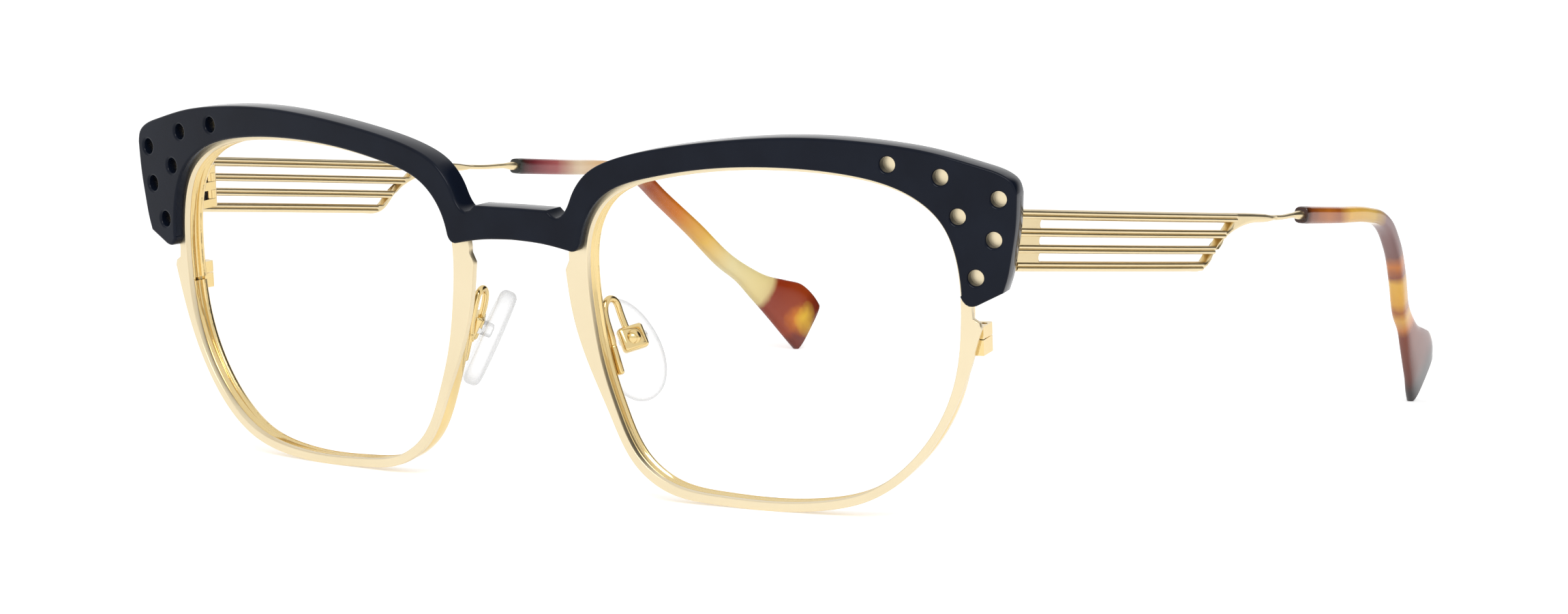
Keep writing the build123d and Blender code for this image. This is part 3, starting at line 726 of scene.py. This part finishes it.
def tortoise(name, stops, blotch, spots):
    """Acetate with colours that run along the tip, broken up by blotches and spots."""
    material, tree, main = shader(name, (0.5, 0.2, 0.03), roughness=0.1, IOR=1.49)
    main.inputs["Transmission Weight"].default_value = 0.3
    coords = add(tree, "ShaderNodeTexCoord")
    split = add(tree, "ShaderNodeSeparateXYZ")
    tree.links.new(coords.outputs["UV"], split.inputs["Vector"])
    patch = noise(tree, 170.0, 3.0)

    def broken(value, amount):
        total = add(tree, "ShaderNodeMath", operation="MULTIPLY_ADD")
        tree.links.new(patch.outputs["Fac"], total.inputs[0])
        total.inputs[1].default_value = 2 * amount
        tree.links.new(value, total.inputs[2])
        return total.outputs["Value"]

    colors = ramp(tree, broken(split.outputs["X"], blotch), stops).outputs["Color"]
    for (u, v), (along, across), color in spots:
        middle = add(tree, "ShaderNodeVectorMath", operation="SUBTRACT")
        middle.inputs[1].default_value = (u, v, 0)
        scaled = add(tree, "ShaderNodeVectorMath", operation="MULTIPLY")
        scaled.inputs[1].default_value = (1 / along, 1 / across, 0)
        far = add(tree, "ShaderNodeVectorMath", operation="LENGTH")
        tree.links.new(coords.outputs["UV"], middle.inputs[0])
        tree.links.new(middle.outputs["Vector"], scaled.inputs[0])
        tree.links.new(scaled.outputs["Vector"], far.inputs[0])
        edge = ramp(tree, broken(far.outputs["Value"], 0.55), [(0.55, (1, 1, 1)), (1.2, (0, 0, 0))])
        blend = add(tree, "ShaderNodeMix", data_type="RGBA")
        tree.links.new(edge.outputs["Color"], blend.inputs[0])
        tree.links.new(colors, blend.inputs[6])
        blend.inputs[7].default_value = (*color, 1)
        colors = blend.outputs[2]
    tree.links.new(colors, main.inputs["Base Color"])
    return material


left_tortoise = tortoise("left_tortoise", [
    (0.02, (0.01, 0.006, 0.004)), (0.05, (0.32, 0.07, 0.006)), (0.12, (0.62, 0.18, 0.010)),
    (0.18, (0.45, 0.11, 0.008)), (0.23, (0.95, 0.55, 0.08)), (0.35, (0.92, 0.60, 0.14)),
    (0.41, (0.36, 0.22, 0.22)), (0.54, (0.24, 0.10, 0.09)), (0.575, (0.75, 0.22, 0.01)),
    (0.61, (0.30, 0.06, 0.02)), (0.635, (0.95, 0.55, 0.06)), (0.69, (0.95, 0.50, 0.05)),
    (0.72, (0.50, 0.14, 0.01)), (0.75, (0.95, 0.50, 0.04)), (0.79, (0.80, 0.25, 0.01)),
    (0.82, (0.30, 0.05, 0.01)), (0.95, (0.20, 0.04, 0.02)), (1.03, (0.05, 0.04, 0.04)),
], 0.02, [((0.93, 0.97), (0.09, 0.22), (0.85, 0.62, 0.42))])
right_tortoise = tortoise("right_tortoise", [
    (0.02, (0.012, 0.014, 0.008)), (0.06, (0.20, 0.03, 0.04)), (0.14, (0.45, 0.12, 0.12)),
    (0.22, (0.90, 0.72, 0.50)), (0.36, (0.85, 0.45, 0.12)), (0.46, (0.42, 0.07, 0.006)),
    (0.56, (0.75, 0.22, 0.01)), (0.66, (0.95, 0.60, 0.12)), (0.74, (0.97, 0.84, 0.45)),
    (0.872, (0.96, 0.80, 0.36)), (0.892, (0.34, 0.03, 0.001)), (0.97, (0.40, 0.05, 0.002)),
    (1.03, (0.22, 0.02, 0.002)),
], 0.02, [
    ((0.955, 0.42), (0.085, 0.60), (0.80, 0.22, 0.004)),
    ((0.972, 0.52), (0.065, 0.48), (0.98, 0.60, 0.03)),
])

# ---- brow bar ----
bar = slab([bar_loop] + [circle(s * x, z, PORT_RADIUS) for s in (1, -1) for x, z in PORTS], 0, BAR_THICKNESS, 0.32, 0.25)
pocket = slab([pocket_loop], PLATE_DEPTH - 0.02, BAR_THICKNESS + 1, 0, 0)
bar = boolean(bar, pocket)
piece("brow_bar_shell", moved(bar, bend), navy, "front", ["brow_bar"], "brow_acetate")

# ---- front plate ----
left_opening = opening
right_opening = opening[::-1] * np.array([-1.0, 1.0])
plate = slab([plate_loop, left_opening, right_opening], PLATE_DEPTH, PLATE_BACK, 0.1, 0.1, steps=3, guard=0.05)
piece("front_sheet", moved(plate, bend), champagne, "front", ["front_plate"], "plate_metal")

# ---- eyewires: a section carried round the opening ----
WIRE_SECTION = [
    (0.12, 2.32), (0.03, 2.37), (0.0, 2.46), (0.0, 3.02), (-0.04, 3.08), (-0.04, 3.16), (0.03, 3.22),
    (0.45, 3.42), (0.5, 3.5), (0.45, 3.58), (0.03, 3.8), (-0.03, 3.86), (-0.03, 4.05), (0.05, 4.3),
    (0.2, 4.52), (0.4, 4.62), (0.6, 4.6), (0.85, 4.4), (0.95, 4.1), (0.95, 2.5), (0.85, 2.32),
]
wire_normals = normals(opening)
rings = []
lock_at = LENS_TOP - 19.93
order = np.argsort(np.abs(opening[:, 1] - lock_at) + 100 * (opening[:, 0] < 40))
first = order[0]
loop = np.roll(opening, -first, axis=0)
loop_normals = np.roll(wire_normals, -first, axis=0)
for p, n in zip(loop, loop_normals):
    rings.append(np.array([(p[0] + n[0] * o, d, p[1] + n[1] * o) for o, d in WIRE_SECTION]))
wire = rings_to_mesh(rings)
pair("eyewire_ring", moved(wire, bend), polished, "front", ["eyewire"], "rim_metal", crease=50.0)

# ---- lenses ----
lens = slab([shifted(opening, -0.03)], 2.62, 4.3, 0.2, 0.2, spacing=2.5, steps=2, guard=0.05)
pair("demo_lens", moved(lens, bend), lens_clear, "front", ["lens"], "demo_lens")


# ---- temples ----
def temple_outline():
    foot = -TEMPLE_HALF
    fin = [(s, foot + rise) for s, rise in TEMPLE_FIN]
    end = [(s, foot + rise) for s, rise in FIN_END]
    tilt = sin(PANTOSCOPIC) / cos(PANTOSCOPIC)
    low = (TEMPLE_NOSE + foot * -tilt, foot)
    high = (TEMPLE_NOSE - TEMPLE_HALF * tilt, TEMPLE_HALF)
    edge = spline([(TEMPLE_PANEL - 4, foot), (TEMPLE_PANEL - 2, foot), (TEMPLE_PANEL, foot)] + fin)
    return tidy_loop(joined(
        lines([low, (TEMPLE_PANEL - 4, foot)]), edge[:-1],
        lines([fin[-1]] + end + [(TEMPLE_PANEL, TEMPLE_HALF), high]), lines([high, low])
    ))


def slot_outline(end, level):
    start = SLOT_START + SLOT_HALF
    nose = [
        (start + SLOT_HALF * cos(a), level + SLOT_HALF * sin(a)) for a in np.linspace(pi / 2, 3 * pi / 2, 14)
    ]
    low, high = (end - SLOT_SLANT, level - SLOT_HALF), (end + SLOT_SLANT, level + SLOT_HALF)
    return tidy_loop(joined(nose[:-1], lines([nose[-1], low, high, nose[0]])))


RIB_RADIUS = 0.27
RIB_PITCH = 0.5
RIB_OUT = 0.62
slots = [slot_outline(end, (k - 1) * SLOT_PITCH) for k, end in enumerate(SLOT_ENDS)]
blade = slab([temple_outline()] + slots, 0, 1.4, 0.42, 0.2, spacing=0.7, steps=5, guard=0.04)


def core_at(s):
    first, third = TIP_PATH[0], TIP_PATH[2]
    t = (s - first[0]) / (third[0] - first[0])
    return (first[2] + t * (third[2] - first[2]), s, first[1] + t * (third[1] - first[1]))


neck_line = [(TEMPLE_OFFSET - (58.5 - TEMPLE_BOW_AT) ** 2 / (2 * TEMPLE_BOW), 58.5, 3.25),
             (TEMPLE_OFFSET - (62.5 - TEMPLE_BOW_AT) ** 2 / (2 * TEMPLE_BOW), 62.5, 3.2), (3.15, 66.0, 3.28),
             core_at(70.0), core_at(71.0), core_at(76.0)]
neck_points = spline(neck_line, step=0.5)
neck_radii = np.interp(neck_points[:, 1], [58.5, 60, 63, 66, 69.5, 71.2, 76], [0.1, 0.3, 0.34, 0.33, 0.36, 0.6, 0.6])
neck_bar = tube(neck_points, neck_radii, up=(1, 0, 0))
temple = merged(moved(blade, bow), moved(neck_bar, on_temple))
# beaded rods: two fine ribs run the whole length of each bar on both faces
for level, end in ((-3.1, 41.2), (-1.0, 44.2), (1.0, 47.0), (3.1, 50.0)):
    for side in (-1, 1):
        for rise in (-RIB_PITCH / 2, RIB_PITCH / 2):
            line = [
                (TEMPLE_OFFSET - (s - TEMPLE_BOW_AT) ** 2 / (2 * TEMPLE_BOW) + side * RIB_OUT, s, level + rise)
                for s in np.linspace(-1.8, end, 9)
            ]
            rib = tube(spline(line, step=1.5), RIB_RADIUS, sides=12, up=(1, 0, 0))
            temple = merged(temple, moved(rib, on_temple))
pair("temple_blade", temple, temple_gold, "temple", ["temple"], "temple_metal")


# ---- ear tips ----
def tip_parts():
    lower, upper, depth = [], [], []
    path = np.array(TIP_PATH)
    for k, (s, h, x, width, thickness) in enumerate(TIP_PATH):
        a, b = path[max(k - 1, 0)], path[min(k + 1, len(path) - 1)]
        along = (b[:2] - a[:2]) / np.linalg.norm(b[:2] - a[:2])
        across = np.array([-along[1], along[0]]) * width / 2
        lower.append((s - across[0], h - across[1]))
        upper.append((s + across[0], h + across[1]))
        depth.append((x, thickness))
    last = path[-1]
    for low, high in PADDLE:
        s, h = (low[0] + high[0]) / 2, (low[1] + high[1]) / 2
        travel = (s - last[0]) * PADDLE_AXIS[0] + (h - last[1]) * PADDLE_AXIS[1]
        lower.append(low)
        upper.append(high)
        depth.append((last[2] - PADDLE_SLOPE * travel, 1.9))
    return np.array(lower), np.array(upper), np.array(depth)


def smooth_rows(rows, per=10):
    """Cubic curves through rows of numbers that share one parameter."""
    lower, upper = rows[:, :2], rows[:, 2:4]
    middle = (lower + upper) / 2
    t = np.concatenate([[0], np.cumsum(np.linalg.norm(np.diff(middle, axis=0), axis=1))])
    slope = np.gradient(rows, t, axis=0)
    out, where = [], []
    for i in range(len(rows) - 1):
        h = t[i + 1] - t[i]
        count = max(2, int(round(h / 0.8)))
        for k in range(count):
            b = k / count
            h00, h10 = 2 * b ** 3 - 3 * b ** 2 + 1, b ** 3 - 2 * b ** 2 + b
            h01, h11 = -2 * b ** 3 + 3 * b ** 2, b ** 3 - b ** 2
            out.append(h00 * rows[i] + h10 * h * slope[i] + h01 * rows[i + 1] + h11 * h * slope[i + 1])
            where.append(t[i] + b * h)
    out.append(rows[-1])
    where.append(t[-1])
    return np.array(out), np.array(where)


def tip_mesh():
    lower, upper, depth = tip_parts()
    rows, where = smooth_rows(np.column_stack([lower, upper, depth]))
    rings, marks = [], []
    sides = 36
    length = where[-1]
    entries = [(rows[i], where[i], 1.0, 0.0) for i in range(len(rows))]
    head = [(rows[0], 0.0, 0.72, -0.0), (rows[0], 0.0, 0.9, 0.12)]
    ends = []
    for k in range(1, 6):
        a = k / 5 * pi / 2
        ends.append((rows[-1], length, 1 - 0.25 * (1 - cos(a)), 0.45 * sin(a)))
    for row, at, scale, push in head + entries[1:] + ends:
        low, high = row[:2], row[2:4]
        x, thick = row[4], row[5]
        mid, half = (low + high) / 2, (high - low) / 2
        width = np.linalg.norm(half)
        trim = 0.45 * (1 - scale) / 0.25 if at == length else 0
        across = half / width
        ahead = np.array([across[1], -across[0]])
        w, t = width - trim * (1 if at == length else 0), thick / 2
        if at == 0.0:
            w, t = width * scale, thick / 2 * scale
        elif at == length:
            t = thick / 2 * (1 - 0.7 * (1 - scale) / 0.25)
        ring = []
        for i in range(sides):
            a = 2 * pi * i / sides
            ca, sa = cos(a), sin(a)
            power = 2 / 3.2
            cx = abs(ca) ** power * (1 if ca >= 0 else -1)
            sx = abs(sa) ** power * (1 if sa >= 0 else -1)
            p = mid + across * (w * sx) + ahead * push
            ring.append((x + t * cx, p[0], p[1]))
        rings.append(np.array(ring))
        marks += [(at / length, 0.5 + 0.5 * sin(2 * pi * i / sides)) for i in range(sides)]
    verts, faces = rings_to_mesh(rings)
    return (on_temple(verts), faces), marks


tip, tip_uv = tip_mesh()
piece("left_tip", tip, left_tortoise, "left_temple", ["left_temple_tip"], "tip_acetate", uv=tip_uv)
piece("right_tip", mirrored(tip), right_tortoise, "right_temple", ["right_temple_tip"], "tip_acetate", uv=tip_uv)

# ---- nose pads ----
pad_outline = np.array([
    (6.8 * cos(a) + 0.9, 4.0 * sin(a) * (1 + 0.1 * cos(a))) for a in np.linspace(0, 2 * pi, 72, endpoint=False)
])
pad = slab([tidy_loop(pad_outline)], -2.95, -0.65, 0.9, 0.9, spacing=0.8, steps=5, guard=0.1)
pad = (on_pad(pad[0][:, [0, 2, 1]]), pad[1])
pair("soft_pad", pad, pad_clear, "pad", ["nose_pad"], "pad_plastic")
lug = rounded_box((1.6, 1.6, 2.4), 0.3)
lug = (on_pad(lug[0] + np.array([0, 0, -0.6])), lug[1])
pair("pad_lug", lug, pad_clear, "pad", ["pad_insert"], "pad_plastic")

# ---- pad arms and boxes ----
arm_path = spline([
    ARM_ROUTE[0], (11.0, 5.45, -18.5), (10.1, 5.45, -15.3), (9.9, 6.0, -14.0), (9.95, 6.8, -13.65),
    (10.15, 7.6, -14.0), (10.5, 8.0, -15.3), ARM_ROUTE[3],
], step=0.3)
arm = tube(arm_path, 0.45, sides=20, up=(1, 0, 0))
foot = rounded_box((1.1, 0.8, 3.9), 0.35, 4)
lean = radians(17.7)
fv = foot[0]
foot = (np.column_stack([
    11.7 + fv[:, 0] * cos(lean) - fv[:, 2] * sin(lean), 5.3 + fv[:, 1],
    -21.0 + fv[:, 0] * sin(lean) + fv[:, 2] * cos(lean),
]), foot[1])
pair("pad_wire", merged(arm, foot), polished, "front", ["pad_arm"], "rim_metal")
shell = rounded_box((3.2, 3.4, 1.5), 0.5, 5)
shell = (shell[0] + np.array([0, 0, 0.45]), shell[1])
ball = lathe([(0, -1.1)] + [(1.1 * cos(a), 1.1 * sin(a)) for a in np.linspace(-pi / 2, pi / 2, 18)[1:-1]] + [(0, 1.1)])
ball = (ball[0] + np.array([0, 0, 0.6]), ball[1])
room = rounded_box((2.3, 2.5, 1.6), 0.1, 1)
box = boolean(boolean(shell, ball, "UNION"), room)
pair("pad_housing", moved(box, on_pad), polished, "front", ["pad_box"], "rim_metal")


# ---- carried-over solids get their materials ----
dressed = {
    "lock_upper": polished, "lock_lower": polished, "lock_screw": steel, "brow_screw_inner": steel,
    "brow_screw_outer": steel, "end_piece": polished, "hinge_screw": steel, "pad_screw": steel,
    "temple_leaf": polished,
}
for ending, material in dressed.items():
    for side in ("left_", "right_"):
        node = frame["nodes"][side + ending]
        for spot in node.material_slots:
            spot.material = material

# ---- floor, light and camera ----
CAMERA_AT = (0.354630, -0.550031, 0.090061)
CAMERA_TURN = (83.5799, -0.3128, 33.5134)
LENS_MM = 109.565
ROOM_LEVEL = 0.75
FLAG_TOWARD = (0.40, 0.83, 0.38)
FLAG_LEVEL = 0.03
FLOOR_GLOW = 0.4

world = bpy.data.worlds.new("studio")
bpy.context.scene.world = world
world.use_nodes = True
tree = world.node_tree
background = tree.nodes["Background"]
background.inputs["Color"].default_value = (1, 1, 1, 1)


def seen_rays(tree, kinds):
    """1 for the kinds of ray that show the backdrop, 0 for the rays that light the object."""
    path = add(tree, "ShaderNodeLightPath")
    total = path.outputs[kinds[0]]
    for kind in kinds[1:]:
        both = add(tree, "ShaderNodeMath", operation="MAXIMUM")
        tree.links.new(total, both.inputs[0])
        tree.links.new(path.outputs[kind], both.inputs[1])
        total = both.outputs["Value"]
    return total


def spread(tree, value, low, high, start=0.0, end=1.0):
    node = add(tree, "ShaderNodeMapRange")
    for name, number in (("From Min", start), ("From Max", end), ("To Min", low), ("To Max", high)):
        node.inputs[name].default_value = number
    tree.links.new(value, node.inputs["Value"])
    return node.outputs["Result"]


# reflections show a dark flag behind the wearer's left, the rest of the room is white
level = spread(tree, seen_rays(tree, ["Is Camera Ray", "Is Transmission Ray"]), ROOM_LEVEL, 1.0)
toward = add(tree, "ShaderNodeVectorMath", operation="DOT_PRODUCT")
toward.inputs[1].default_value = FLAG_TOWARD
room = add(tree, "ShaderNodeTexCoord")
tree.links.new(room.outputs["Generated"], toward.inputs[0])
flag = spread(tree, toward.outputs["Value"], 1.0, FLAG_LEVEL, 0.84, 0.94)
glossy = add(tree, "ShaderNodeMix", data_type="FLOAT")
tree.links.new(seen_rays(tree, ["Is Glossy Ray"]), glossy.inputs[0])
tree.links.new(level, glossy.inputs[2])
tree.links.new(flag, glossy.inputs[3])
tree.links.new(glossy.outputs[0], background.inputs["Strength"])


def lamp(name, at, aim, size, watts, color=(1, 1, 1)):
    data = bpy.data.lights.new(name, "AREA")
    data.shape = "RECTANGLE"
    data.size, data.size_y = size
    data.energy = watts
    data.color = color
    obj = bpy.data.objects.new(name, data)
    obj.location = at
    obj.rotation_euler = (Vector(aim) - Vector(at)).to_track_quat("-Z", "Y").to_euler()
    bpy.context.scene.collection.objects.link(obj)


lamp("key", (0.5, -0.9, 0.9), (0, 0, 0.02), (0.8, 0.5), 6.0)

floor_data = bpy.data.meshes.new("floor")
floor_data.from_pydata([(-3, -3, 0), (3, -3, 0), (3, 3, 0), (-3, 3, 0)], [], [(0, 1, 2, 3)])
floor = bpy.data.objects.new("floor", floor_data)
bpy.context.scene.collection.objects.link(floor)
paper, tree, main = shader("white_floor", (0.9, 0.9, 0.9), roughness=0.9)
main.inputs["Emission Color"].default_value = (1, 1, 1, 1)
kinds = ["Is Camera Ray", "Is Glossy Ray", "Is Transmission Ray"]
tree.links.new(spread(tree, seen_rays(tree, kinds), 0.0, FLOOR_GLOW), main.inputs["Emission Strength"])
floor_data.materials.append(paper)

camera_data = bpy.data.cameras.new("camera")
camera_data.lens = LENS_MM
camera_data.sensor_width = 36.0
camera_data.sensor_fit = "HORIZONTAL"
camera_data.clip_end = 20.0
camera = bpy.data.objects.new("camera", camera_data)
camera.location = CAMERA_AT
camera.rotation_euler = [radians(a) for a in CAMERA_TURN]
bpy.context.scene.collection.objects.link(camera)
bpy.context.scene.camera = camera
bpy.context.scene.view_settings.view_transform = "Standard"
